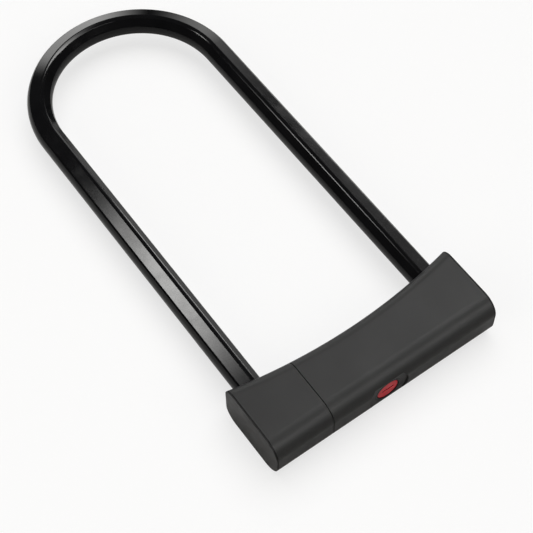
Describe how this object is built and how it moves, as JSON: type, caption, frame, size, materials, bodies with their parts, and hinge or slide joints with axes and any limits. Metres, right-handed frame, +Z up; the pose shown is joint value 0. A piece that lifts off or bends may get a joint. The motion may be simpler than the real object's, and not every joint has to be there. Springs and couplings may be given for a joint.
{
  "type": "u lock",
  "caption": "U-shaped bicycle lock: a coated steel shackle seated in a covered crossbar, whose key plug turns a cam that slides two bolts into notches in the legs.",
  "frame": {"origin": "under the middle of the whole lock, on the plane of the crossbar's underside", "axes": "+X along the crossbar, +Y from the crossbar to the bow of the shackle, +Z up, square to the plane of the shackle"},
  "size_m": [0.15, 0.3197, 0.031],
  "materials": {
    "cover": "soft-touch matt, fine grain",
    "coating": "deep gloss",
    "plug_red": "satin",
    "bezel": "satin",
    "seal": "matt",
    "shackle_steel": "ground",
    "housing_steel": "milled",
    "hard_steel": "hardened",
    "brass": "turned",
    "screw_steel": "black oxide"
  },
  "bodies": {
    "crossbar": {"main_cover": "cover", "end_cover": "cover", "lock_housing": "housing_steel", "left_end_plug": "housing_steel", "right_end_plug": "housing_steel", "left_leg_seal": "seal", "right_leg_seal": "seal", "keyway_bezel": "bezel", "cylinder_body": "brass", "cylinder_pin": "hard_steel", "retaining_ring": "hard_steel", "cover_screws": "screw_steel"},
    "key_barrel": {"key_plug": "plug_red", "drill_guard": "hard_steel", "disc_barrel": "housing_steel", "detainer_discs": "brass", "spacer_washers": "hard_steel", "sidebar": "hard_steel", "drive_cam": "hard_steel", "crank_pins": "hard_steel"},
    "bolt_left": {"left_bolt": "hard_steel"},
    "bolt_right": {"right_bolt": "hard_steel"},
    "shackle": {"shackle_core": "shackle_steel", "shackle_coating": "coating"}
  },
  "joints": [
    {"name": "shackle_slide", "type": "slide", "parent": "crossbar", "child": "shackle", "axis": [0, 1, 0], "range_m": [0, 0.06]},
    {"name": "key_turn", "type": "hinge", "parent": "crossbar", "child": "key_barrel", "pos_m": [0, -0.15, 0.0155], "axis": [0, 1, 0], "range_deg": [0, 90]},
    {"name": "left_bolt_slide", "type": "slide", "parent": "crossbar", "child": "bolt_left", "axis": [-1, 0, 0], "range_m": [0, 0.00537]},
    {"name": "right_bolt_slide", "type": "slide", "parent": "crossbar", "child": "bolt_right", "axis": [1, 0, 0], "range_m": [0, 0.00537]}
  ],
  "couplings": [
    {"joint": "key_turn", "follows": "left_bolt_slide", "rad_per_m": 292.3},
    {"joint": "right_bolt_slide", "follows": "left_bolt_slide", "ratio": 1}
  ]
}
